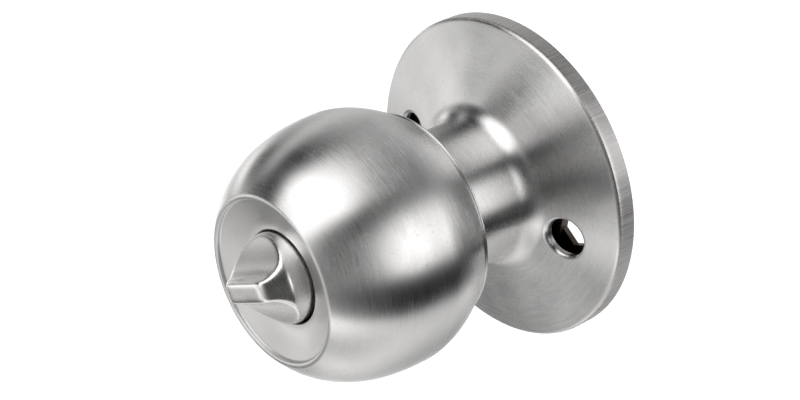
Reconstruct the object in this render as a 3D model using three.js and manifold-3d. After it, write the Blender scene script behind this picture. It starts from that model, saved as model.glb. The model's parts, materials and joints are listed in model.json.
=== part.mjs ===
// Interior half of a tubular door-knob set: a ball knob with a dished face and a turn button,
// on a round rose with a drawn neck. Millimetres, +Z up. The origin is the centre of the rose's
// back plane, which rests on the door. The spindle axis is Y, and the knob points along -Y.
// Outlines are lists of [out, radius]: distance in front of the door, and distance from the axis.
import * as THREE from 'three';
import { mergeVertices } from 'three/addons/utils/BufferGeometryUtils.js';
import Module from 'manifold-3d';

const GAP = 0.3; // clearance between pieces that touch
const ROUND = 40; // segments round the large turned pieces
const FINE = 20; // segments round the small turned pieces
const WIRE_SIDES = 6;

const ROSE = {
  radius: 35,
  rim: 4.4,
  edge: 1,
  slope: 14,
  flare: 4.5,
  neck: 15.2,
  end: 30,
  wall: 0.9,
};
const SCREW = { offset: 22.9, radius: 4.1, collar: 4.8, collarEnd: 5.2 };
const HEXAGON = { offset: 22.2, corner: 4.1 }; // the plate's six-sided screw holes
const BALL = {
  centre: 40.8,
  radius: 26.9,
  frontDepth: 28.8,
  frontPower: 2.42,
  backDepth: 25.5,
  backPower: 1.7,
  seam: 28.2,
  lipStart: 64.45,
  lip: 1,
  lipReturn: 0.2,
  crimp: 1.4,
  wall: 0.75,
};
const FACE = { floor: 62, step: 62.5, flange: 17.6, top: 15.9, foot: 15.1, hole: 10.2 };
const BUTTON = {
  radius: 9.4,
  base: 58.4,
  shoulder: 66.2,
  front: 71.1,
  frontRadius: 6.3,
  edge: 0.5,
  scoopBase: 63.4,
  finHalf: 2.2,
  scoopPower: 2.33,
  finAngle: 34,
};
const STEM = {
  radius: 3,
  front: 62.7,
  back: 40.5,
  square: 4.9,
  squareFrom: 46.2,
  squareTo: 49.2,
  grooveRadius: 2.5,
  groove: 50.5,
};
const BAR = { width: 4.6, thick: 1.5, front: 45.2, back: -16, pin: 42.8, pinRadius: 0.75 };
const SHANK = { radius: 11, bore: 9.6, front: 35.6, back: -2.4, flat: 10.4, flatTo: 6.8 };
const PLATE = { back: 1.4, thick: 1.2, radius: 33.6, bore: 11.7 };
const CAGE = { back: 3, radius: 16.2, flange: 19, top: 7.6, wall: 0.8 };
const RIVET = { circle: 17.7, radius: 0.8, head: 1.3, headThick: 0.6, angles: [45, 135, 225, 315] };
const SPRING = { radius: 12.1, wire: 0.35, low: 3.2, high: 4.85, leg: 14.8, spread: 16, turns: 2 };
const SPRING_TAB = { top: 5, width: 4, thick: 0.7, middle: 14.55 }; // stands up from the plate
const BUSH_BACK = 14;
const BACK_DISC = { collar: 15.7, height: 1.8, edge: 1.2, wall: 0.7 }; // closes the ball behind
const CAP = {
  back: 31.9,
  bore: 16.8,
  foot: 17.4,
  out: 30.3,
  rim: 21,
  rimTop: 31.4,
  dome: 18,
  top: 33,
  hub: 13,
};
const GROOVE = { from: -1.9, to: -0.5, depth: 0.55 };
const DRIVE = { from: 5.4, to: 6.4, radius: 14.6, tabEnd: 3, tabWidth: 4, tabThick: 0.7, tabMiddle: 13.35 };
const WAVE = { from: 0.55, to: 0.85, outer: 14.4, height: 0.22, waves: 3 };
const THRUST = { from: -0.3, to: 0.1, outer: 14 };
const CIRCLIP = {
  from: -1.55,
  to: -0.8,
  inner: 10.75,
  outer: 13,
  mouth: 4.4,
  ear: 1.6,
  eye: 0.7,
  earX: 3.7,
  earZ: -13,
};
const SOCKET = { from: -1, to: 14, square: 8.4 };
const GUIDE = { back: 56.6, floor: 57.8, clearance: 0.5, wall: 1.3, stemClearance: 0.4 };
const DETENT = {
  ring: 55.7,
  top: 56.3,
  inner: 7.2,
  outer: 10.8,
  footBack: 47.2,
  footTop: 47.8,
  footEnd: 8,
  width: 4,
  thick: 0.6,
  arm: 7.7,
};
const STEM_SPRING = { back: 51.5, length: 3.4, radius: 4.4, turns: 4, wire: 0.3 };
const WASHER = { from: 55.6, to: 56.2, outer: 6 };
const CLIP = { from: 50.2, to: 50.8, clearance: 0.25, outer: 5.4, mouth: 3.4 };

const wasm = await Module();
wasm.setup();

const radians = THREE.MathUtils.degToRad;

// A closed geometry as a solid that can be joined and cut.
function solid(geometry) {
  const bare = geometry.clone();
  bare.deleteAttribute('normal');
  bare.deleteAttribute('uv');
  const merged = mergeVertices(bare, 1e-4);
  const mesh = new wasm.Mesh({
    numProp: 3,
    vertProperties: merged.attributes.position.array,
    triVerts: new Uint32Array(merged.index.array),
  });
  return new wasm.Manifold(mesh);
}

// A solid back as a geometry.
function surface(body) {
  const mesh = body.getMesh();
  const geometry = new THREE.BufferGeometry();
  const points = new Float32Array(mesh.vertProperties);
  geometry.setAttribute('position', new THREE.BufferAttribute(points, 3));
  geometry.setIndex(new THREE.BufferAttribute(new Uint32Array(mesh.triVerts), 1));
  geometry.computeVertexNormals();
  return geometry;
}

// A closed outline turned about the spindle axis.
function turned(outline, segments = ROUND) {
  const points = outline.map(([out, radius]) => new THREE.Vector2(radius, -out));
  if (THREE.ShapeUtils.area(points) < 0) points.reverse();
  const last = points[points.length - 1];
  const onAxis = points[0].x === 0 && last.x === 0;
  if (!onAxis) points.push(points[0].clone());
  return solid(new THREE.LatheGeometry(points, segments));
}

// A plain ring between two radii.
function ring(from, to, inner, outer, segments = FINE) {
  return turned([[from, inner], [from, outer], [to, outer], [to, inner]], segments);
}

// A plain round bar on the spindle axis.
function rod(from, to, radius, segments = FINE) {
  return turned([[from, 0], [from, radius], [to, radius], [to, 0]], segments);
}

// A block given by its size and middle.
function block(width, depth, height, x, y, z) {
  const geometry = new THREE.BoxGeometry(width, depth, height);
  return solid(geometry.translate(x, y, z));
}

// Points of an arc in an outline; angle 0 points away from the axis and 90 away from the door.
function arc(out, radius, size, from, to, steps) {
  const points = [];
  for (let i = 0; i <= steps; i += 1) {
    const angle = radians(from + ((to - from) * i) / steps);
    points.push([out + size * Math.sin(angle), radius + size * Math.cos(angle)]);
  }
  return points;
}

// The unit vector square to the line between two outline points, on the sheet's hidden side.
function hiddenSide([out, radius], [nextOut, nextRadius]) {
  const length = Math.hypot(nextOut - out, nextRadius - radius);
  return [(nextRadius - radius) / length, (out - nextOut) / length];
}

// Sheet metal: the outline of its seen side, thickened towards its hidden side.
function sheet(outline, wall, segments = ROUND) {
  const hidden = outline.map((point, i) => {
    const before = i > 0 ? hiddenSide(outline[i - 1], point) : hiddenSide(point, outline[1]);
    const after = i < outline.length - 1 ? hiddenSide(point, outline[i + 1]) : before;
    const share = wall / (1 + before[0] * after[0] + before[1] * after[1]);
    return [point[0] + share * (before[0] + after[0]), point[1] + share * (before[1] + after[1])];
  });
  return turned([...outline, ...hidden.reverse()], segments);
}

// Round wire along a smooth curve through the points.
function wire(points, radius, steps) {
  const section = new THREE.Shape();
  section.absarc(0, 0, radius, 0, 2 * Math.PI, false);
  const extrudePath = new THREE.CatmullRomCurve3(points);
  return solid(
    new THREE.ExtrudeGeometry(section, { steps, curveSegments: WIRE_SIDES / 2, extrudePath }),
  );
}

// A point given by its distance from the door, its distance from the axis and its angle from +X.
function around(out, radius, degrees) {
  const angle = radians(degrees);
  return new THREE.Vector3(radius * Math.cos(angle), -out, radius * Math.sin(angle));
}

// The ball's radius at a distance from the door: flattened in front, fuller behind.
function ballRadius(out) {
  const front = out > BALL.centre;
  const depth = front ? BALL.frontDepth : BALL.backDepth;
  const power = front ? BALL.frontPower : BALL.backPower;
  const share = Math.abs(out - BALL.centre) / depth;
  return BALL.radius * (1 - share ** power) ** (1 / power);
}

// The seen side of the rose: rim, rounded edge, shallow cone, flare and neck.
function roseOutline() {
  const slope = radians(ROSE.slope);
  const edge = arc(ROSE.rim - ROSE.edge, ROSE.radius - ROSE.edge, ROSE.edge, 0, 90 - ROSE.slope, 3);
  const [edgeOut, edgeRadius] = edge[edge.length - 1];
  const centre = ROSE.neck + ROSE.flare;
  const rise = ROSE.flare - (centre - edgeRadius) * Math.sin(slope);
  const flareOut = edgeOut + rise / Math.cos(slope);
  const flare = arc(flareOut, centre, ROSE.flare, -90 - ROSE.slope, -180, 6);
  return [[0, ROSE.radius], ...edge, ...flare, [ROSE.end, ROSE.neck]];
}

// A bar of round or six-sided section along the spindle's direction, x from its axis.
function barAt(x, radius, from, to, segments) {
  const geometry = new THREE.CylinderGeometry(radius, radius, to - from, segments);
  return solid(geometry.translate(x, -(from + to) / 2, 0));
}

function roseCover() {
  let body = sheet(roseOutline(), ROSE.wall);
  for (const side of [-1, 1]) {
    const slope = Math.tan(radians(ROSE.slope));
    const face = ROSE.rim + (ROSE.radius - SCREW.offset - SCREW.collar) * slope;
    const x = side * SCREW.offset;
    body = body.add(barAt(x, SCREW.collar, SCREW.collarEnd, face - GAP, FINE));
    body = body.subtract(barAt(x, SCREW.radius, 0, ROSE.end / 2, FINE));
  }
  return body;
}

function mountingPlate() {
  let body = ring(PLATE.back, PLATE.back + PLATE.thick, PLATE.bore, PLATE.radius, ROUND);
  const from = PLATE.back + GAP;
  const { top, width, thick, middle } = SPRING_TAB;
  body = body.add(block(width, top - from, thick, 0, -(top + from) / 2, middle));
  for (const side of [-1, 1]) {
    body = body.subtract(barAt(side * HEXAGON.offset, HEXAGON.corner, 0, ROSE.rim, 6));
  }
  for (const angle of RIVET.angles) {
    body = body.subtract(rivetBar(angle, RIVET.radius + GAP));
  }
  return body;
}

// A round bar through plate and cage flange at one rivet place.
function rivetBar(angle, radius, from = 0, to = ROSE.rim) {
  const place = around((from + to) / 2, RIVET.circle, angle);
  const geometry = new THREE.CylinderGeometry(radius, radius, to - from, FINE / 2);
  return solid(geometry.translate(place.x, place.y, place.z));
}

function cageRivet(angle) {
  const low = PLATE.back - GAP;
  const high = CAGE.back + CAGE.wall + GAP;
  return rivetBar(angle, RIVET.radius, low - RIVET.headThick, high + RIVET.headThick)
    .add(rivetBar(angle, RIVET.head, low - RIVET.headThick, low))
    .add(rivetBar(angle, RIVET.head, high, high + RIVET.headThick));
}

function springCage() {
  const step = CAGE.back + CAGE.wall;
  const outline = [
    [step, CAGE.flange],
    [step, CAGE.radius],
    [CAGE.top, CAGE.radius],
    [CAGE.top, PLATE.bore],
  ];
  let body = sheet(outline, CAGE.wall);
  for (const angle of RIVET.angles) {
    body = body.subtract(rivetBar(angle, RIVET.radius + GAP));
  }
  return body;
}

function neckBush() {
  const inner = SHANK.radius + GAP;
  const outer = ROSE.neck - ROSE.wall - GAP;
  const top = ROSE.end + GAP;
  return turned([
    [BUSH_BACK, inner],
    [BUSH_BACK, outer],
    [top, outer],
    [top, ROSE.neck],
    [top + 1, ROSE.neck],
    [top + 1, inner],
  ]);
}

function returnSpring() {
  const points = [around(SPRING.low, SPRING.leg, 90 + SPRING.spread)];
  const count = 24 * SPRING.turns;
  const sweep = 360 * SPRING.turns - 2 * SPRING.spread;
  for (let i = 0; i <= count; i += 1) {
    const out = SPRING.low + ((SPRING.high - SPRING.low) * i) / count;
    points.push(around(out, SPRING.radius, 90 + SPRING.spread + (sweep * i) / count));
  }
  points.push(around(SPRING.high, SPRING.leg, 90 - SPRING.spread));
  return wire(points, SPRING.wire, 54);
}

// The seen side of the ball: crimp behind, ball, rolled front edge and its inward return.
function ballOutline() {
  const points = [[BALL.seam, ballRadius(BALL.seam) - BALL.crimp]];
  const backSteps = 3;
  for (let i = 0; i <= backSteps; i += 1) {
    const out = BALL.seam + ((BALL.centre - BALL.seam) * i) / backSteps;
    points.push([out, ballRadius(out)]);
  }
  const frontSteps = 8;
  const lastAngle = Math.asin((BALL.lipStart - BALL.centre) / BALL.frontDepth);
  for (let i = 1; i <= frontSteps; i += 1) {
    const out = BALL.centre + BALL.frontDepth * Math.sin((lastAngle * i) / frontSteps);
    points.push([out, ballRadius(out)]);
  }
  const [out, radius] = points[points.length - 1];
  const start = 50;
  const middleOut = out - BALL.lip * Math.sin(radians(start));
  const middleRadius = radius - BALL.lip * Math.cos(radians(start));
  const lip = arc(middleOut, middleRadius, BALL.lip, start, 180, 4);
  return [...points, ...lip.slice(1), [middleOut - BALL.lipReturn, middleRadius - BALL.lip]];
}

function knobShell() {
  return sheet(ballOutline(), BALL.wall);
}

function faceCup() {
  return sheet(
    [
      [FACE.step, FACE.flange],
      [FACE.step, FACE.top],
      [FACE.floor + 0.1, FACE.foot],
      [FACE.floor, FACE.foot - 1],
      [FACE.floor, FACE.hole],
    ],
    BALL.wall,
  );
}

function knobBack() {
  const face = BALL.seam + BALL.wall + GAP;
  const { collar, height, edge, wall } = BACK_DISC;
  return sheet([[face + height, collar], [face, collar], [face, ballRadius(face) - edge]], wall);
}

// The stepped disc behind the ball, which carries the shank.
function shankFlange() {
  const inner = SHANK.radius + GAP;
  const hubTop = SHANK.front - GAP;
  return turned([
    [CAP.back, inner],
    [CAP.back, CAP.bore],
    [CAP.out, CAP.foot],
    [CAP.out, CAP.rim],
    [CAP.rimTop, CAP.rim],
    [CAP.top, CAP.dome],
    [CAP.top, CAP.hub],
    [hubTop, CAP.hub],
    [hubTop, inner],
  ]);
}

function knobShank() {
  const groove = SHANK.radius - GROOVE.depth;
  let body = turned([
    [SHANK.back, SHANK.bore],
    [SHANK.back, SHANK.radius],
    [GROOVE.from, SHANK.radius],
    [GROOVE.from, groove],
    [GROOVE.to, groove],
    [GROOVE.to, SHANK.radius],
    [SHANK.front, SHANK.radius],
    [SHANK.front, SHANK.bore],
  ]);
  const length = SHANK.flatTo - SHANK.back + 1;
  const middle = -(SHANK.flatTo + SHANK.back - 1) / 2;
  for (const side of [-1, 1]) {
    body = body.subtract(block(2, length, 2 * SHANK.radius, side * (SHANK.flat + 1), middle, 0));
  }
  return body;
}

function drivePlate() {
  const { from, to } = DRIVE;
  const tabTop = to - GAP;
  const tab = block(
    DRIVE.tabWidth,
    tabTop - DRIVE.tabEnd,
    DRIVE.tabThick,
    0,
    -(tabTop + DRIVE.tabEnd) / 2,
    DRIVE.tabMiddle,
  );
  const key = 2 * (SHANK.flat + GAP);
  const bore = rod(from - 1, to + 1, SHANK.radius + GAP, ROUND).intersect(
    block(key, 2 * to, 3 * SHANK.radius, 0, -from, 0),
  );
  return rod(from, to, DRIVE.radius, ROUND).subtract(bore).add(tab);
}

function waveWasher() {
  const body = ring(WAVE.from, WAVE.to, SHANK.radius + GAP, WAVE.outer, ROUND);
  return body.warp((point) => {
    point[1] += WAVE.height * Math.sin(WAVE.waves * Math.atan2(point[2], point[0]));
  });
}

function thrustWasher() {
  return ring(THRUST.from, THRUST.to, SHANK.radius + GAP, THRUST.outer, ROUND);
}

// A round bar through one ear of the circlip, on side 1 or -1.
function earBar(side, radius) {
  const { from, to, earX, earZ } = CIRCLIP;
  const geometry = new THREE.CylinderGeometry(radius, radius, to - from, FINE / 2);
  return solid(geometry.translate(side * earX, -(from + to) / 2, earZ));
}

function shankCirclip() {
  const { from, to, inner, outer, mouth } = CIRCLIP;
  const depth = 2 * (to - from);
  let body = ring(from, to, inner, outer, ROUND);
  body = body.subtract(block(mouth, depth, mouth, 0, -(from + to) / 2, -(inner + outer) / 2));
  for (const side of [-1, 1]) {
    body = body.add(earBar(side, CIRCLIP.ear)).subtract(earBar(side, CIRCLIP.eye));
  }
  return body;
}

function spindleSocket() {
  const { from, to, square } = SOCKET;
  return rod(from, to, SHANK.bore - GAP).subtract(
    block(square, 2 * (to - from), square, 0, -(from + to) / 2, 0),
  );
}

// The cup that guides the turn button behind the dished face.
function buttonGuide() {
  const inner = BUTTON.radius + GUIDE.clearance;
  const outer = inner + GUIDE.wall;
  const front = FACE.floor - BALL.wall - GAP;
  const bore = STEM.radius + GUIDE.stemClearance;
  return turned([
    [GUIDE.back, bore],
    [GUIDE.back, outer],
    [front, outer],
    [front, inner],
    [GUIDE.floor, inner],
    [GUIDE.floor, bore],
  ]);
}

// A ring with two bent feet that press on the square of the button stem.
function detentSpring() {
  const { footBack, footTop, footEnd, width, thick, arm } = DETENT;
  const armTop = DETENT.top - GAP;
  const footStart = STEM.radius + GAP;
  let body = ring(DETENT.ring, DETENT.top, DETENT.inner, DETENT.outer);
  for (const side of [-1, 1]) {
    const armOut = -(footBack + armTop) / 2;
    const footOut = -(footBack + footTop) / 2;
    const footMiddle = (side * (footStart + footEnd)) / 2;
    body = body
      .add(block(thick, armTop - footBack, width, side * arm, armOut, 0))
      .add(block(footEnd - footStart, footTop - footBack, width, footMiddle, footOut, 0));
  }
  return body;
}

// The half thickness of the fin at a distance from the door, where the scoops have cut.
function finHalf(out) {
  const share = (out - BUTTON.scoopBase) / (BUTTON.front - BUTTON.scoopBase);
  return BUTTON.finHalf + (BUTTON.radius - BUTTON.finHalf) * (1 - share) ** BUTTON.scoopPower;
}

// One scoop as a long bar across the button, on side 1 or -1 of the fin.
function scoop(side) {
  const outside = 2 * BUTTON.radius;
  const shape = new THREE.Shape();
  shape.moveTo(outside, BUTTON.scoopBase);
  const steps = 9;
  for (let i = 0; i <= steps; i += 1) {
    const out = BUTTON.scoopBase + ((BUTTON.front - BUTTON.scoopBase) * i) / steps;
    shape.lineTo(finHalf(out), out);
  }
  shape.lineTo(BUTTON.finHalf, BUTTON.front + 1);
  shape.lineTo(outside, BUTTON.front + 1);
  const geometry = new THREE.ExtrudeGeometry(shape, { depth: 2 * outside, bevelEnabled: false });
  geometry.translate(0, 0, -outside);
  const place = new THREE.Matrix4().makeBasis(
    new THREE.Vector3(0, 0, side),
    new THREE.Vector3(0, -1, 0),
    new THREE.Vector3(side, 0, 0),
  );
  return solid(geometry.applyMatrix4(place));
}

function turnButton() {
  const edge = arc(
    BUTTON.front - BUTTON.edge,
    BUTTON.frontRadius - BUTTON.edge,
    BUTTON.edge,
    30,
    90,
    2,
  );
  const body = turned([
    [BUTTON.base, 0],
    [BUTTON.base, BUTTON.radius],
    [BUTTON.shoulder, BUTTON.radius],
    ...edge,
    [BUTTON.front, 0],
  ]);
  return body
    .subtract(scoop(1))
    .subtract(scoop(-1))
    .subtract(rod(BUTTON.base - 1, STEM.front + GAP, STEM.radius + GAP));
}

function buttonStem() {
  const grooveHalf = 0.6;
  let body = turned(
    [
      [STEM.back, 0],
      [STEM.back, STEM.radius],
      [STEM.groove - grooveHalf, STEM.radius],
      [STEM.groove - grooveHalf, STEM.grooveRadius],
      [STEM.groove + grooveHalf, STEM.grooveRadius],
      [STEM.groove + grooveHalf, STEM.radius],
      [STEM.front, STEM.radius],
      [STEM.front, 0],
    ],
    FINE,
  );
  const length = STEM.squareTo - STEM.squareFrom;
  const middle = -(STEM.squareTo + STEM.squareFrom) / 2;
  const offset = STEM.square / 2 + 1;
  for (const side of [-1, 1]) {
    body = body.subtract(block(2, length, 2 * STEM.radius, side * offset, middle, 0));
    body = body.subtract(block(2 * STEM.radius, length, 2, 0, middle, side * offset));
  }
  const slotEnd = BAR.front + GAP;
  const slot = block(
    3 * STEM.radius,
    slotEnd - STEM.back + 1,
    BAR.thick + 2 * GAP,
    0,
    -(slotEnd + STEM.back - 1) / 2,
    0,
  );
  return body.subtract(slot).subtract(crossBar(BAR.pinRadius + GAP, 4 * STEM.radius));
}

// A round bar square to the fin at the place of the cross pin.
function crossBar(radius, length) {
  const geometry = new THREE.CylinderGeometry(radius, radius, length, FINE / 2);
  return solid(geometry.rotateX(Math.PI / 2).translate(0, -BAR.pin, 0));
}

function stemPin() {
  return crossBar(BAR.pinRadius, 2 * STEM.radius - 0.4);
}

function lockBar() {
  const length = BAR.front - BAR.back;
  const body = block(BAR.width, length, BAR.thick, 0, -(BAR.front + BAR.back) / 2, 0);
  return body.subtract(crossBar(BAR.pinRadius + GAP, 2 * BAR.width));
}

function stemSpring() {
  const { back, length, radius, turns } = STEM_SPRING;
  const count = 16 * turns;
  const points = [];
  for (let i = 0; i <= count; i += 1) {
    points.push(around(back + (length * i) / count, radius, (360 * turns * i) / count));
  }
  return wire(points, STEM_SPRING.wire, 48);
}

function stemWasher() {
  return ring(WASHER.from, WASHER.to, STEM.radius + GAP, WASHER.outer);
}

function stemClip() {
  const { from, to, clearance, outer, mouth } = CLIP;
  const body = ring(from, to, STEM.grooveRadius + clearance, outer);
  return body.subtract(block(mouth, 2 * (to - from), mouth, 0, -STEM.groove, -outer + 1));
}

const SATIN_STEEL = { color: 0xc6c5c3, roughness: 0.32, metalness: 1 };
const ZINC_STEEL = { color: 0xaeb2b6, roughness: 0.45, metalness: 1 };
const SPRING_STEEL = { color: 0x6f7073, roughness: 0.4, metalness: 1 };
const CAST_ZINC = { color: 0x9a9b9c, roughness: 0.55, metalness: 1 };
const NYLON = { color: 0x2c2c2e, roughness: 0.6, metalness: 0 };

// One named mesh, with a material of its own.
function piece(name, body, look) {
  const mesh = new THREE.Mesh(surface(body), new THREE.MeshStandardMaterial(look));
  mesh.name = name;
  return mesh;
}

const doorKnob = new THREE.Group();

const fixed = new THREE.Group();
fixed.add(piece('rose_cover', roseCover(), SATIN_STEEL));
fixed.add(piece('mounting_plate', mountingPlate(), ZINC_STEEL));
fixed.add(piece('spring_cage', springCage(), ZINC_STEEL));
RIVET.angles.forEach((angle, i) => {
  fixed.add(piece(`cage_rivet_${i + 1}`, cageRivet(angle), ZINC_STEEL));
});
fixed.add(piece('neck_bush', neckBush(), NYLON));
fixed.add(piece('return_spring', returnSpring(), SPRING_STEEL));
doorKnob.add(fixed);

const knob = new THREE.Group();
knob.add(piece('knob_shell', knobShell(), SATIN_STEEL));
knob.add(piece('face_cup', faceCup(), SATIN_STEEL));
knob.add(piece('knob_back', knobBack(), SATIN_STEEL));
knob.add(piece('shank_flange', shankFlange(), ZINC_STEEL));
knob.add(piece('knob_shank', knobShank(), ZINC_STEEL));
knob.add(piece('drive_plate', drivePlate(), ZINC_STEEL));
knob.add(piece('wave_washer', waveWasher(), SPRING_STEEL));
knob.add(piece('thrust_washer', thrustWasher(), ZINC_STEEL));
knob.add(piece('shank_circlip', shankCirclip(), SPRING_STEEL));
knob.add(piece('spindle_socket', spindleSocket(), CAST_ZINC));
knob.add(piece('button_guide', buttonGuide(), NYLON));
knob.add(piece('detent_spring', detentSpring(), SPRING_STEEL));
doorKnob.add(knob);

const button = new THREE.Group();
button.rotation.y = -radians(BUTTON.finAngle);
button.add(piece('turn_button', turnButton(), SATIN_STEEL));
button.add(piece('button_stem', buttonStem(), CAST_ZINC));
button.add(piece('stem_pin', stemPin(), SPRING_STEEL));
button.add(piece('lock_bar', lockBar(), ZINC_STEEL));
button.add(piece('stem_spring', stemSpring(), SPRING_STEEL));
button.add(piece('stem_washer', stemWasher(), ZINC_STEEL));
button.add(piece('stem_clip', stemClip(), SPRING_STEEL));
doorKnob.add(button);

export default doorKnob;
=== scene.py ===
"""Looks for the door knob: fine turned and pressed metalwork in place of the coarse CAD skins, a
brushed, worn finish on every piece, a pale studio, and a camera above and to the right of the
spindle axis. Outlines are lists of (out, radius) in millimetres: distance in front of the door,
and distance from the spindle axis."""

import json
import math

import bmesh
import bpy
from mathutils import Matrix, Vector


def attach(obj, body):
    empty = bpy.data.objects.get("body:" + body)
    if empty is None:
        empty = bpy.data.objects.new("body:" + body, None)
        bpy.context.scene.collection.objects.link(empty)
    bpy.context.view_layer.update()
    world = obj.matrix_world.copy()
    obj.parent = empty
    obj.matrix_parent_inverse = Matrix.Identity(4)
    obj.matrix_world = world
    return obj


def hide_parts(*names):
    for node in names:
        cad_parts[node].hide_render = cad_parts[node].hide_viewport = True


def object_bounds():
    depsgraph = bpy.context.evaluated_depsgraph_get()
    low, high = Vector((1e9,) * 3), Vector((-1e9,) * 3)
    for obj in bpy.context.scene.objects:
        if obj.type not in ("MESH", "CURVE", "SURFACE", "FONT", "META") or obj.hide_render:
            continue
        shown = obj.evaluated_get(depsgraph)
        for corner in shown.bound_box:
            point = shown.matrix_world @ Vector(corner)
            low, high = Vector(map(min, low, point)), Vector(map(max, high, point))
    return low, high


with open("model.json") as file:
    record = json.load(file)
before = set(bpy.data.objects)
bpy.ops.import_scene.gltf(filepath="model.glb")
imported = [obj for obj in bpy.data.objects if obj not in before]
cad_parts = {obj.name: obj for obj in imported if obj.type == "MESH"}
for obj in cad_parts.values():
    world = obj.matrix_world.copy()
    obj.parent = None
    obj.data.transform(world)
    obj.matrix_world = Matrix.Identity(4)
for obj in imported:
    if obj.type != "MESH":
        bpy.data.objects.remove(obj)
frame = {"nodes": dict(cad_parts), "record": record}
CAD_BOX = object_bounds()
MM = 0.001
SEGMENTS, BUTTON_SEGMENTS, HOLE_SEGMENTS = 256, 360, 72  # round the turned pieces and holes
SHARP = math.radians(40)  # an edge that turns by more than this is shaded sharp

# Shapes, in millimetres.
ROSE_RADIUS, RIM, RIM_EDGE, SLOPE = 35.0, 4.4, 1.0, math.radians(14)
RIM_BEVEL = 0.15  # at the back of the rim
NECK, FLARE, NECK_END, ROSE_WALL = 15.2, 4.5, 30.0, 0.9
SCREW_OFFSET, SCREW_HOLE, SCREW_LIP, LIP_DEPTH = 22.9, 4.1, 0.85, 1.7
BALL_CENTRE, BALL_RADIUS, SEAM = 40.8, 26.9, 28.2
FRONT_DEPTH, FRONT_POWER, BACK_DEPTH, BACK_POWER = 28.8, 2.42, 25.5, 1.7
LIP_START, LIP, SHELL_WALL = 64.45, 1.0, 0.75
BEAD, BEAD_RAISE, BEAD_AT, BEAD_FOOT, BEAD_LEG = 0.3, 0.4, 0.35, 0.2, 1.4  # the rolled seam
GROOVE, GROOVE_GAP = 0.16, 0.12  # depth of the groove beside it, and how far it stands off
CREST_FROM, CREST_TO, DISH_FOOT, DISH_RISE = 50, 96, 16.4, 1.9
DISH_TURN, DISH_LEAD, DISH_WALL = 22, 0.3, 0.6
FLOOR, BUTTON_HOLE, HOLE_EDGE, HOLE_DEPTH = 62.0, 9.75, 0.3, 1.2
HOLE_PLAY = (0.3, 0.1)  # how far the hole stands off the axis, along X and Z
BACK_GAP, BACK_EDGE, BACK_WALL = 0.3, 1.2, 0.7  # the disc that closes the ball behind
COLLAR_GAP, COLLAR_BEND, COLLAR_HEIGHT = 0.5, 0.6, 1.8  # its turned-up edge round the neck
BUTTON, BUTTON_BASE, SHOULDER = 9.4, 58.6, 66.2
BUTTON_FRONT, FRONT_RADIUS, FRONT_ROUND = 71.1, 6.3, 2.5
SCOOP_BASE, FIN_HALF, SCOOP_POWER, FIN_ANGLE = 63.4, 2.2, 2.33, math.radians(34)
ON_AXIS = 0.01  # the radius at which a turned outline ends on the axis
WORN_GRID, WORN_PASSES = 0.13, 145  # voxel size and smoothing that round the button's edges


def arc(out, radius, size, start, end, steps):
    """Points of an arc; 0 degrees points away from the axis and 90 away from the door."""
    points = []
    for i in range(steps + 1):
        angle = math.radians(start + (end - start) * i / steps)
        points.append((out + size * math.sin(angle), radius + size * math.cos(angle)))
    return points


def straight(start, end, steps):
    """Evenly spaced points from start towards end, without the end."""
    return [
        tuple(a + (b - a) * i / steps for a, b in zip(start, end)) for i in range(steps)
    ]


def thicken(outline, wall):
    """The outline of a pressed sheet: its seen side and, wall behind it, its hidden side."""
    hidden = []
    for i, (out, radius) in enumerate(outline):
        before = outline[max(i - 1, 0)]
        after = outline[min(i + 1, len(outline) - 1)]
        run, rise = after[0] - before[0], after[1] - before[1]
        length = math.hypot(run, rise)
        hidden.append((out + wall * rise / length, radius - wall * run / length))
    return outline + hidden[::-1]


def direction_to(azimuth, elevation):
    """The unit vector at an azimuth from -Y towards +X and an elevation, both in degrees."""
    a, e = math.radians(azimuth), math.radians(elevation)
    return math.sin(a) * math.cos(e), -math.cos(a) * math.cos(e), math.sin(e)


def link(name, mesh):
    piece = bpy.data.objects.new(name, mesh)
    bpy.context.scene.collection.objects.link(piece)
    return piece


def smooth(mesh):
    """Shades the mesh smooth, apart from its sharp edges."""
    mesh.shade_smooth()
    mesh.set_sharp_from_angle(angle=SHARP)


def ring_mesh(name, rings):
    """A closed surface through rings of points in millimetres; the last ring joins the first."""
    count = len(rings[0])
    verts = [(x * MM, y * MM, z * MM) for ring in rings for x, y, z in ring]
    faces = []
    for s in range(len(rings)):
        here, there = s * count, (s + 1) % len(rings) * count
        for i in range(count):
            j = (i + 1) % count
            faces.append((here + i, here + j, there + j, there + i))
    mesh = bpy.data.meshes.new(name)
    mesh.from_pydata(verts, [], faces)
    tidy_mesh(mesh)
    return link(name, mesh)


def turned(name, outline, segments=SEGMENTS):
    """A closed outline turned about the spindle axis."""
    rings = []
    for s in range(segments):
        angle = 2 * math.pi * s / segments
        cosine, sine = math.cos(angle), math.sin(angle)
        rings.append([(radius * cosine, -out, radius * sine) for out, radius in outline])
    return ring_mesh(name, rings)


def tidy_mesh(mesh):
    """Merges doubled points, drops empty faces and turns every face outwards."""
    work = bmesh.new()
    work.from_mesh(mesh)
    doubled, empty = 0.0001 * MM, 0.00001 * MM
    bmesh.ops.remove_doubles(work, verts=work.verts, dist=doubled)
    bmesh.ops.dissolve_degenerate(work, edges=work.edges, dist=empty)
    bmesh.ops.recalc_face_normals(work, faces=work.faces)
    work.to_mesh(mesh)
    work.free()


def apply_modifiers(piece):
    """Gives the piece the mesh that its modifiers make."""
    graph = bpy.context.evaluated_depsgraph_get()
    made = bpy.data.meshes.new_from_object(piece.evaluated_get(graph))
    piece.modifiers.clear()
    piece.data = made


def cut(piece, cutter):
    """Takes the cutter out of the piece."""
    modifier = piece.modifiers.new("cut", "BOOLEAN")
    modifier.operation = "DIFFERENCE"
    modifier.solver = "EXACT"
    modifier.object = cutter
    apply_modifiers(piece)
    bpy.data.objects.remove(cutter)


# ---------------------------------------------------------------- shapes


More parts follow.
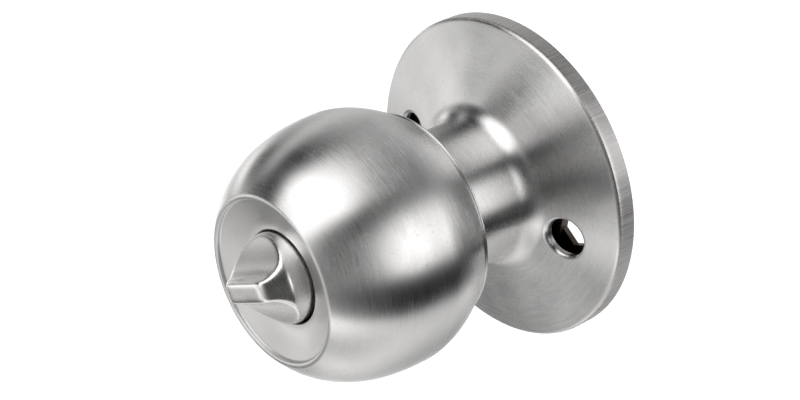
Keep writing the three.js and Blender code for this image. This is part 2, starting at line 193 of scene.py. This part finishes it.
def rose_edge():
    return arc(RIM - RIM_EDGE, ROSE_RADIUS - RIM_EDGE, RIM_EDGE, 0, 90 - math.degrees(SLOPE), 10)


def flare_out():
    """Distance from the door of the flare's centre."""
    edge_out, edge_radius = rose_edge()[-1]
    rise = FLARE - (NECK + FLARE - edge_radius) * math.sin(SLOPE)
    return edge_out + rise / math.cos(SLOPE)


def rose_height(radius):
    """The rose's face: distance from the door at a distance from the axis, on its cone."""
    edge_out, edge_radius = rose_edge()[-1]
    return edge_out + (edge_radius - radius) * math.tan(SLOPE)


def screw_collar(name, side):
    """The rolled lip of one screw hole: it leaves the cone smoothly and turns inwards. Its
    section is a list of (distance from the hole's axis, depth below the cone)."""
    section = []
    bend_steps = 8
    for i in range(bend_steps + 1):
        angle = math.radians(90 * i / bend_steps)
        reach = SCREW_HOLE + SCREW_LIP * (1 - math.sin(angle))
        section.append((reach, SCREW_LIP * (1 - math.cos(angle))))
    for thickness, past in ((0.05, 0), (0.3, 0.1), (0.6, 0)):
        section.append((SCREW_HOLE + thickness, LIP_DEPTH + past))
    section.append((SCREW_HOLE + SCREW_LIP, ROSE_WALL * 0.8))
    rings = []
    for s in range(HOLE_SEGMENTS):
        angle = 2 * math.pi * s / HOLE_SEGMENTS
        ring = []
        for reach, depth in section:
            x = side * SCREW_OFFSET + reach * math.cos(angle)
            z = reach * math.sin(angle)
            ring.append((x, depth - rose_height(math.hypot(x, z)), z))
        rings.append(ring)
    collar = ring_mesh(name, rings)
    smooth(collar.data)
    return collar


def rod_along_y(name, x, radius, out_from, out_to):
    """A round bar along the spindle's direction, used as a cutter."""
    work = bmesh.new()
    middle = Matrix.Translation((x * MM, -(out_from + out_to) / 2 * MM, 0))
    bmesh.ops.create_cone(
        work,
        cap_ends=True,
        segments=HOLE_SEGMENTS,
        radius1=radius * MM,
        radius2=radius * MM,
        depth=(out_to - out_from) * MM,
        matrix=middle @ Matrix.Rotation(math.radians(90), 4, "X"),
    )
    mesh = bpy.data.meshes.new(name)
    work.to_mesh(mesh)
    work.free()
    return link(name, mesh)


def rose_skin():
    """The rose's seen side: rim, rounded edge, shallow cone, flare and neck."""
    edge = rose_edge()
    slope = math.degrees(SLOPE)
    flare = arc(flare_out(), NECK + FLARE, FLARE, -90 - slope, -180, 20)
    seen = [(0, ROSE_RADIUS - RIM_BEVEL)]
    seen += straight((RIM_BEVEL, ROSE_RADIUS), edge[0], 6) + edge[:-1]
    seen += straight(edge[-1], flare[0], 24) + flare[:-1]
    seen += straight(flare[-1], (NECK_END, NECK), 14) + [(NECK_END, NECK)]
    rose = turned("rose", thicken(seen, ROSE_WALL))
    hole, cut_from, cut_to = SCREW_HOLE + SCREW_LIP, -1, 14
    for side in (-1, 1):
        cut(rose, rod_along_y("cutter", side * SCREW_OFFSET, hole, cut_from, cut_to))
    smooth(rose.data)
    return rose


def ball_radius(out):
    depth, power = (FRONT_DEPTH, FRONT_POWER) if out > BALL_CENTRE else (BACK_DEPTH, BACK_POWER)
    share = abs(out - BALL_CENTRE) / depth
    return BALL_RADIUS * (1 - share**power) ** (1 / power)


def crest():
    """The centre of the rolled edge between the ball and its dished face."""
    out = LIP_START
    start = math.radians(CREST_FROM)
    return out - LIP * math.sin(start), ball_radius(out) - LIP * math.cos(start)


def ball_skin():
    """The ball: a thin bead at the seam behind, the round, and the outside of the rolled edge."""
    bead = ball_radius(SEAM + BEAD_AT)
    points = [(SEAM, bead - BEAD_LEG), (SEAM, bead - BEAD_FOOT)]
    points += arc(SEAM + BEAD, bead + BEAD * BEAD_RAISE, BEAD, -90, 90, 8)
    groove = SEAM + 2 * BEAD + GROOVE_GAP
    points.append((groove, ball_radius(groove) - GROOVE))
    first = groove + GROOVE
    back_steps, front_steps = 24, 44
    for i in range(back_steps + 1):
        out = first + (BALL_CENTRE - first) * i / back_steps
        points.append((out, ball_radius(out)))
    last = math.asin((LIP_START - BALL_CENTRE) / FRONT_DEPTH)
    for i in range(1, front_steps + 1):
        out = BALL_CENTRE + FRONT_DEPTH * math.sin(last * i / front_steps)
        points.append((out, ball_radius(out)))
    points += arc(*crest(), LIP, CREST_FROM, CREST_TO, 10)[1:]
    ball = turned("ball", thicken(points, SHELL_WALL))
    smooth(ball.data)
    return ball


def bezier(start, first, second, end, steps):
    """Points of a cubic curve, without its start."""
    points = []
    for i in range(1, steps + 1):
        t = i / steps
        shares = ((1 - t) ** 3, 3 * t * (1 - t) ** 2, 3 * t * t * (1 - t), t**3)
        corners = list(zip(shares, (start, first, second, end)))
        points.append(tuple(sum(share * corner[c] for share, corner in corners) for c in (0, 1)))
    return points


def dish_skin():
    """The dished face: it falls softly from the rolled edge to the flat round the button hole."""
    fall = arc(*crest(), LIP, CREST_TO, CREST_TO + DISH_TURN, 10)
    (out, radius), (last_out, last_radius) = fall[-1], fall[-2]
    run = DISH_LEAD / math.hypot(out - last_out, radius - last_radius)
    lead = (out + (out - last_out) * run, radius + (radius - last_radius) * run)
    foot = (FLOOR + DISH_RISE, DISH_FOOT)
    above_foot = (foot[0] + 0.15, foot[1] + 0.5)
    below_foot = (foot[0] - 0.9, foot[1] - 2.4)
    before_flat = (FLOOR, BUTTON_HOLE + 2)
    flat = (FLOOR, BUTTON_HOLE + 0.4)
    seen = fall + bezier(fall[-1], lead, above_foot, foot, 10)
    seen += bezier(foot, below_foot, before_flat, flat, 16)
    seen += arc(FLOOR - HOLE_EDGE, BUTTON_HOLE + HOLE_EDGE, HOLE_EDGE, 90, 180, 6)
    seen.append((FLOOR - HOLE_DEPTH, BUTTON_HOLE))
    dish = turned("dish", thicken(seen, DISH_WALL))
    for point in dish.data.vertices:
        radius = math.hypot(point.co.x, point.co.z) / MM
        share = min(max((DISH_FOOT - radius) / (DISH_FOOT - BUTTON_HOLE), 0), 1)
        point.co.x += HOLE_PLAY[0] * share * MM
        point.co.z += HOLE_PLAY[1] * share * MM
    smooth(dish.data)
    return dish


def back_skin():
    """The disc that closes the ball behind, turned up round the neck."""
    face = SEAM + SHELL_WALL + BACK_GAP
    collar = NECK + COLLAR_GAP
    seen = [(face + COLLAR_HEIGHT, collar)]
    seen += arc(face + COLLAR_BEND, collar + COLLAR_BEND, COLLAR_BEND, 180, 270, 6)
    seen += straight((face, collar + 0.7), (face, ball_radius(face) - BACK_EDGE), 8)
    back = turned("ball_back", thicken(seen, BACK_WALL))
    smooth(back.data)
    return back


def scoop_cutter(side):
    """One scoop beside the fin, as a long bar whose section follows the fin's hollow flank."""
    steps = 40
    outside, past_front = 3 * BUTTON, BUTTON_FRONT + 1
    section = [(outside, SCOOP_BASE)]
    for i in range(steps + 1):
        share = i / steps
        half = FIN_HALF + (BUTTON - FIN_HALF) * (1 - share) ** SCOOP_POWER
        section.append((half, SCOOP_BASE + (BUTTON_FRONT - SCOOP_BASE) * share))
    section += [(FIN_HALF, past_front), (outside, past_front)]
    verts = []
    for along in (-2 * BUTTON, 2 * BUTTON):
        verts += [(along * MM, -out * MM, side * half * MM) for half, out in section]
    count = len(section)
    faces = [tuple(range(count)), tuple(range(2 * count - 1, count - 1, -1))]
    for i in range(count):
        j = (i + 1) % count
        faces.append((i, i + count, j + count, j))
    mesh = bpy.data.meshes.new("cutter")
    mesh.from_pydata(verts, [], faces)
    tidy_mesh(mesh)
    return link("cutter", mesh)


def button_skin():
    """The turn button: a stepped plug with a scoop on each side of its fin, edges worn round."""
    seen = [(BUTTON_BASE, ON_AXIS), (BUTTON_BASE, BUTTON)]
    lean = math.atan2(BUTTON - FRONT_RADIUS, BUTTON_FRONT - SHOULDER)
    turn_in = FRONT_ROUND * math.tan((math.pi / 2 - lean) / 2)
    seen += [(SHOULDER, BUTTON)]
    seen += arc(
        BUTTON_FRONT - FRONT_ROUND, FRONT_RADIUS - turn_in, FRONT_ROUND, math.degrees(lean), 90, 8
    )
    seen.append((BUTTON_FRONT, ON_AXIS))
    button = turned("button", seen, BUTTON_SEGMENTS)
    for side in (-1, 1):
        cut(button, scoop_cutter(side))
    remesh = button.modifiers.new("remesh", "REMESH")
    remesh.mode = "VOXEL"
    remesh.voxel_size = WORN_GRID * MM
    relax = button.modifiers.new("relax", "SMOOTH")
    relax.factor = 0.5
    relax.iterations = WORN_PASSES
    apply_modifiers(button)
    button.data.transform(Matrix.Rotation(-FIN_ANGLE, 4, "Y"))
    button.data.shade_smooth()
    return button


# ---------------------------------------------------------------- finishes


class Sheet:
    """A small helper round one node tree, so that a finish reads as a recipe."""

    def __init__(self, name):
        self.material = bpy.data.materials.new(name)
        self.material.use_nodes = True
        self.tree = self.material.node_tree
        self.shader = self.tree.nodes["Principled BSDF"]
        self.place = self.node("ShaderNodeTexCoord").outputs["Object"]

    def node(self, kind, **settings):
        made = self.tree.nodes.new(kind)
        for key, value in settings.items():
            setattr(made, key, value)
        return made

    def plug(self, value, socket):
        if isinstance(value, bpy.types.NodeSocket):
            self.tree.links.new(value, socket)
        else:
            socket.default_value = value

    def math(self, operation, first, second=0.0):
        made = self.node("ShaderNodeMath", operation=operation)
        for value, socket in zip((first, second), made.inputs):
            self.plug(value, socket)
        return made.outputs[0]

    def vector(self, x, y, z):
        made = self.node("ShaderNodeCombineXYZ")
        for value, socket in zip((x, y, z), made.inputs):
            self.plug(value, socket)
        return made.outputs[0]

    def noise(self, vector, scale, detail, rough, w=None):
        made = self.node("ShaderNodeTexNoise", noise_dimensions="4D" if w is not None else "3D")
        self.plug(vector, made.inputs["Vector"])
        if w is not None:
            self.plug(w, made.inputs["W"])
        made.inputs["Scale"].default_value = scale
        made.inputs["Detail"].default_value = detail
        made.inputs["Roughness"].default_value = rough
        return made.outputs["Fac"]

    def ramp(self, value, low, high, start=0.0, end=1.0):
        """Spreads value from low to high over start to end, and holds it there beyond them."""
        made = self.node("ShaderNodeMapRange")
        made.clamp = True
        for amount, socket in zip((value, low, high, start, end), made.inputs):
            self.plug(amount, socket)
        return made.outputs[0]

    def tint(self, share, dark, light):
        """A colour between dark and light."""
        made = self.node("ShaderNodeMix", data_type="RGBA")
        self.plug(share, made.inputs["Factor"])
        made.inputs["A"].default_value = (*dark, 1)
        made.inputs["B"].default_value = (*light, 1)
        return made.outputs["Result"]

    def bump(self, height, distance):
        made = self.node("ShaderNodeBump")
        made.inputs["Strength"].default_value = 1.0
        made.inputs["Distance"].default_value = distance
        self.plug(height, made.inputs["Height"])
        return made.outputs["Normal"]

    def turned_place(self):
        """Distance from the axis, distance along it, and the cosine and sine of the angle."""
        split = self.node("ShaderNodeSeparateXYZ")
        self.plug(self.place, split.inputs[0])
        x, y, z = split.outputs
        squares = self.math("ADD", self.math("MULTIPLY", x, x), self.math("MULTIPLY", z, z))
        radius = self.math("SQRT", squares)
        safe = self.math("MAXIMUM", radius, 0.1 * MM)
        return radius, y, self.math("DIVIDE", x, safe), self.math("DIVIDE", z, safe)

    def lines(self, across, along, detail, rough):
        """Noise with so many features per metre across the turning direction, and so many per
        radian along it: with many across it is brush lines round the spindle axis."""
        radius, out, cosine, sine = self.turned_place()
        place = self.vector(
            self.math("MULTIPLY", radius, across),
            self.math("MULTIPLY", out, across),
            self.math("MULTIPLY", cosine, along),
        )
        return self.noise(place, 1.0, detail, rough, w=self.math("MULTIPLY", sine, along))

    def finish(self, colour, rough, normal, metallic=1.0):
        self.plug(colour, self.shader.inputs["Base Color"])
        self.plug(rough, self.shader.inputs["Roughness"])
        self.plug(normal, self.shader.inputs["Normal"])
        self.shader.inputs["Metallic"].default_value = metallic
        return self.material

    def brushed(self, pull, rotation):
        """Stretches the highlights across the brush lines round the spindle axis, or along them;
        rotation is in whole turns."""
        tangent = self.node("ShaderNodeTangent", direction_type="RADIAL", axis="Y")
        self.plug(tangent.outputs[0], self.shader.inputs["Tangent"])
        self.shader.inputs["Anisotropic"].default_value = pull
        self.shader.inputs["Anisotropic Rotation"].default_value = rotation


STEEL, STEEL_DARK = (0.70, 0.697, 0.695), (0.6, 0.596, 0.594)
ACROSS, ALONG = 0.25, 0.0  # rotations of the highlight's stretch, in whole turns


def satin(name, round_axis=True, light=STEEL, dark=STEEL_DARK, base=0.25, pull=1.0):
    """Satin stainless steel, brushed round the axis or, on a rim, along it. Base is its middle
    roughness, and pull how far its highlights stretch across the brush lines."""
    s = Sheet(name)
    if round_axis:
        fine = s.lines(across=9000, along=9, detail=2, rough=0.6)
        broad = s.lines(across=1600, along=3, detail=2, rough=0.5)
        depth, stretch = 0.0014 * MM, ACROSS
    else:
        fine = s.lines(across=90, along=170, detail=3, rough=0.7)
        broad = s.lines(across=60, along=45, detail=2, rough=0.5)
        depth, stretch = 0.006 * MM, ALONG
    patches = s.noise(s.place, scale=90, detail=3, rough=0.55)
    marks = s.ramp(s.noise(s.place, scale=900, detail=2, rough=0.5), 0.66, 0.74)
    specks = s.noise(s.place, scale=4500, detail=2, rough=0.6)
    grain = s.math("ADD", s.math("MULTIPLY", fine, 0.7), s.math("MULTIPLY", broad, 0.3))
    colour = s.tint(s.ramp(grain, 0.3, 0.7), dark, light)
    brushing = s.ramp(grain, 0.3, 0.7, base - 0.04, base + 0.05)
    rough = s.math("ADD", brushing, s.ramp(patches, 0.35, 0.65, -0.03, 0.04))
    rough = s.math("ADD", rough, s.math("MULTIPLY", marks, 0.05))
    height = s.math("ADD", grain, s.math("MULTIPLY", specks, 0.5))
    s.brushed(pull, stretch)
    return s.finish(colour, rough, s.bump(height, depth))


def plain_metal(name, light, dark, rough, scale=700, depth=0.004):
    """Plated, sintered or spring steel: mottled, with a fine grain."""
    s = Sheet(name)
    mottle = s.noise(s.place, scale=scale * 0.25, detail=4, rough=0.6)
    grain = s.noise(s.place, scale=scale * 6, detail=2, rough=0.6)
    colour = s.tint(s.ramp(mottle, 0.35, 0.65), dark, light)
    dull = s.ramp(mottle, 0.35, 0.65, rough - 0.06, rough + 0.06)
    roughness = s.math("ADD", dull, s.ramp(grain, 0.3, 0.7, -0.04, 0.04))
    s.brushed(pull=0.3, rotation=ACROSS)
    return s.finish(colour, roughness, s.bump(grain, depth * MM))


def moulded(name, light, dark):
    """Moulded nylon: fine spark-eroded texture and a faint cloudiness."""
    s = Sheet(name)
    cloud = s.noise(s.place, scale=160, detail=3, rough=0.5)
    grain = s.noise(s.place, scale=4500, detail=2, rough=0.6)
    s.shader.inputs["Subsurface Weight"].default_value = 0.1
    s.shader.inputs["Subsurface Radius"].default_value = (0.002, 0.0018, 0.0014)
    colour = s.tint(cloud, dark, light)
    rough = s.ramp(grain, 0.3, 0.7, 0.42, 0.55)
    return s.finish(colour, rough, s.bump(grain, 0.006 * MM), metallic=0.0)


def paint(piece, *materials):
    piece.data.materials.clear()
    for material in materials:
        piece.data.materials.append(material)


def inside_shade_faces(piece, index):
    """Gives the rose's hidden side, what faces the door or the axis, the oiled finish: a brown
    oiled tint, darkened to paint the shade inside the rose.
    """
    neck_bore = (NECK - ROSE_WALL - 0.2) * MM
    steep = 0.5
    for face in piece.data.polygons:
        centre, normal = face.center, face.normal
        radius = math.hypot(centre.x, centre.z)
        outward = (centre.x * normal.x + centre.z * normal.z) / radius
        if normal.y > steep or (outward < -steep and radius > neck_bore):
            face.material_index = index


def rim_faces(piece, index):
    """Gives the rim's side wall its own finish."""
    inner_limit, level = (ROSE_RADIUS - 0.25) * MM, 0.6
    for face in piece.data.polygons:
        radius = math.hypot(face.center.x, face.center.z)
        if radius > inner_limit and abs(face.normal.y) < level:
            face.material_index = index


# ---------------------------------------------------------------- studio

# The room's light as a level that starts from the room and the white table, and is raised by
# bright lobes and lowered by dark ones. It is rolled off between dark and full brightness, so that
# a bright lobe has a flat middle and a clean edge. Each row holds azimuth from -Y towards +X,
# elevation, tightness and strength.
#
# The rows weren't placed by hand. A program fitted them, TABLE_EDGE and TABLE_SOFT to the photo's
# tones on the metal, and rounded them. The strengths and TABLE were then multiplied by about 1.4,
# and ROOM, BRIGHTEST and the strength of "dark front left, low" were set by trial. A name says
# where a row lies, and doesn't stand for anything seen in the studio.
WHITE, WARM_WHITE = (1, 1, 1, 1), (1, 0.993, 0.988, 1)
BRIGHTEST = 2.2
ROOM, TABLE, TABLE_EDGE, TABLE_SOFT = 0.1, 4.5, -0.41, 0.1
LIGHTS = {
    "bright above": (-5, 70, 12, 11),
    "bright front, high": (-30, 35, 4, 8.5),
    "bright right": (110, 25, 10, 10),
    "bright left, level": (-95, -5, 50, 7.5),
    "bright front left, low": (-55, -20, 20, 3.5),
    "dark above": (10, 60, 2, -8),
    "dark left, high": (-90, 40, 40, -7),
    "dark front left": (-55, 15, 20, -8.5),
    "dark front, narrow": (-30, 10, 100, -16),
    "dark left, level": (-95, 0, 60, -9),
    "dark right, low": (110, -15, 3, -5),
    "dark behind, low": (-175, -55, 6, -5),
    "dark front left, low": (-60, -45, 6, -7.3),
    "dark front right, low": (45, -55, 8, -3.5),
    "dark front, low": (-5, -40, 30, -3),
}


def studio():
    """Lights the scene from the rows above, and shows the camera plain white behind it."""
    world = bpy.data.worlds.new("studio")
    bpy.context.scene.world = world
    world.use_nodes = True
    tree = world.node_tree
    tree.nodes.clear()

    def node(kind, **settings):
        made = tree.nodes.new(kind)
        for key, value in settings.items():
            setattr(made, key, value)
        return made

    def math_node(operation, first, second):
        made = node("ShaderNodeMath", operation=operation)
        for value, socket in zip((first, second), made.inputs):
            if isinstance(value, bpy.types.NodeSocket):
                tree.links.new(value, socket)
            else:
                socket.default_value = value
        return made.outputs[0]

    direction = node("ShaderNodeTexCoord").outputs["Generated"]
    split = node("ShaderNodeSeparateXYZ")
    tree.links.new(direction, split.inputs[0])
    height = math_node("DIVIDE", math_node("SUBTRACT", split.outputs[2], TABLE_EDGE), TABLE_SOFT)
    below = math_node("SUBTRACT", 1.0, math_node("TANH", height, 0.0))
    level = math_node("ADD", math_node("MULTIPLY", below, TABLE / 2), ROOM)
    for azimuth, elevation, tightness, strength in LIGHTS.values():
        dot = node("ShaderNodeVectorMath", operation="DOT_PRODUCT")
        tree.links.new(direction, dot.inputs[0])
        dot.inputs[1].default_value = direction_to(azimuth, elevation)
        falloff = math_node("MULTIPLY", math_node("SUBTRACT", dot.outputs["Value"], 1.0), tightness)
        lobe = math_node("MULTIPLY", math_node("EXPONENT", falloff, 0.0), strength)
        level = math_node("ADD", level, lobe)
    dimming = math_node("EXPONENT", math_node("MULTIPLY", level, -1.0), 0.0)
    light = math_node("DIVIDE", BRIGHTEST, math_node("ADD", dimming, 1.0))
    backdrop = node("ShaderNodeBackground")
    backdrop.inputs["Color"].default_value = WHITE
    backdrop.inputs["Strength"].default_value = 1.0
    room = node("ShaderNodeBackground")
    room.inputs["Color"].default_value = WARM_WHITE
    tree.links.new(light, room.inputs["Strength"])
    mix = node("ShaderNodeMixShader")
    tree.links.new(node("ShaderNodeLightPath").outputs["Is Camera Ray"], mix.inputs["Fac"])
    tree.links.new(room.outputs[0], mix.inputs[1])
    tree.links.new(backdrop.outputs[0], mix.inputs[2])
    tree.links.new(mix.outputs[0], node("ShaderNodeOutputWorld").inputs["Surface"])


def pale_floor():
    """A plain white sweep 60 mm under the knob, faintly lit so that it stays clean."""
    mesh = bpy.data.meshes.new("floor")
    reach, height = 3000 * MM, CAD_BOX[0].z - 60 * MM
    corners = [(-reach, -reach), (reach, -reach), (reach, reach), (-reach, reach)]
    mesh.from_pydata([(x, y, height) for x, y in corners], [], [(0, 1, 2, 3)])
    floor = link("floor", mesh)
    s = Sheet("pale_floor")
    cloud = s.noise(s.place, scale=30, detail=3, rough=0.5)
    colour = s.tint(cloud, (0.88, 0.88, 0.88), (0.9, 0.9, 0.9))
    material = s.finish(colour, 0.9, s.bump(cloud, 0.02 * MM), metallic=0.0)
    s.shader.inputs["Emission Color"].default_value = WHITE
    s.shader.inputs["Emission Strength"].default_value = 0.5
    s.shader.inputs["Specular IOR Level"].default_value = 0.0
    paint(floor, material)
    floor.visible_glossy = False


# Where the camera stands as seen from the rose's middle, how far its upright leans, and how far to
# the left of the rose's middle and below it the camera aims, in degrees. They come from a camera
# that a program fitted to outlines in the photo.
VIEW_AZIMUTH, VIEW_ELEVATION, VIEW_ROLL = 40.9182, 34.3600, 10.1
AIM_LEFT, AIM_DOWN = 3.1669, 0.7858
VIEW_DISTANCE = 421.47


def camera():
    """Looks at the knob with the rose's middle up and to the right of the picture's middle."""
    back = Vector(direction_to(VIEW_AZIMUTH, VIEW_ELEVATION))
    roll = math.radians(VIEW_ROLL)
    up = Vector((-math.sin(roll), 0, math.cos(roll)))
    across = up.cross(back).normalized()
    above = back.cross(across)
    left, down = math.tan(math.radians(AIM_LEFT)), math.tan(math.radians(AIM_DOWN))
    z_axis = (back + across * left + above * down).normalized()
    x_axis = (across - z_axis * across.dot(z_axis)).normalized()
    y_axis = z_axis.cross(x_axis)
    data = bpy.data.cameras.new("camera")
    data.lens, data.sensor_width = 90, 36
    data.clip_start, data.clip_end = 10 * MM, 20000 * MM
    eye = bpy.data.objects.new("camera", data)
    bpy.context.scene.collection.objects.link(eye)
    place = Matrix((x_axis, y_axis, z_axis)).transposed().to_4x4()
    place.translation = back * VIEW_DISTANCE * MM
    eye.matrix_world = place
    bpy.context.scene.camera = eye


# ---------------------------------------------------------------- the object

camera()
studio()
pale_floor()
bpy.context.scene.view_settings.view_transform = "Standard"

SATIN = satin("satin_round")
RIM_SATIN = satin("satin_rim", False, (0.68, 0.67, 0.665), (0.36, 0.352, 0.35))
DISH_SATIN = satin(
    "satin_dish", light=(0.76, 0.756, 0.752), dark=(0.69, 0.686, 0.682), base=0.42, pull=0.2
)
ZINC = plain_metal("zinc_plate", (0.6, 0.62, 0.64), (0.46, 0.48, 0.5), 0.42)
SPRING = plain_metal("spring_steel", (0.3, 0.3, 0.31), (0.2, 0.19, 0.19), 0.36)
SINTER = plain_metal(
    "sintered_steel", (0.42, 0.42, 0.43), (0.3, 0.3, 0.3), 0.5, scale=900, depth=0.01
)
NYLON = moulded("nylon", (0.045, 0.045, 0.048), (0.025, 0.025, 0.027))
BUTTON_SATIN = satin(
    "satin_button", light=(0.84, 0.83, 0.815), dark=(0.76, 0.75, 0.735), base=0.24, pull=0.4
)
# Oiled plate: a real brown oiled tint, made darker than the steel is so that it paints the shade
# inside the rose and behind its screw holes.
OILED_AND_SHADE = plain_metal("oiled_plate_and_painted_shade", (0.2, 0.16, 0.135), (0.11, 0.085, 0.07), 0.45)
# The plate and spring cage behind the rose take the same darkened oiled finish, painted shade
# included.
BY_NODE = {"mounting_plate": OILED_AND_SHADE, "spring_cage": OILED_AND_SHADE}
BY_SLOT = {
    "plated_steel": ZINC,
    "spring_steel": SPRING,
    "sintered_steel": SINTER,
    "nylon": NYLON,
    "satin_stainless": SATIN,
}

for row in frame["record"]["subparts"]:
    node = frame["nodes"][row["node"]]
    finish = BY_NODE.get(row["node"], BY_SLOT[row["material_slot"]])
    if not node.material_slots:
        node.data.materials.append(finish)
    for place in node.material_slots:
        place.material = finish


def stand_for(piece, body, node, *materials):
    """Paints a piece, and lets it ride on its body in place of a CAD node."""
    paint(piece, *materials)
    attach(piece, body)
    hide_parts(node)


rose = rose_skin()
rose_finishes = (SATIN, RIM_SATIN, OILED_AND_SHADE)
stand_for(rose, "rose", "rose_cover", *rose_finishes)
rim_faces(rose, rose_finishes.index(RIM_SATIN))
# The rose's hidden side takes the oiled finish, darkened as painted shade.
inside_shade_faces(rose, rose_finishes.index(OILED_AND_SHADE))
for side, word in ((-1, "left"), (1, "right")):
    collar = screw_collar("screw_lip_" + word, side)
    paint(collar, SATIN)
    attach(collar, "rose")
stand_for(ball_skin(), "knob", "knob_shell", SATIN)
stand_for(dish_skin(), "knob", "face_cup", DISH_SATIN)
stand_for(back_skin(), "knob", "knob_back", SATIN)
stand_for(button_skin(), "turn_button", "turn_button", BUTTON_SATIN)
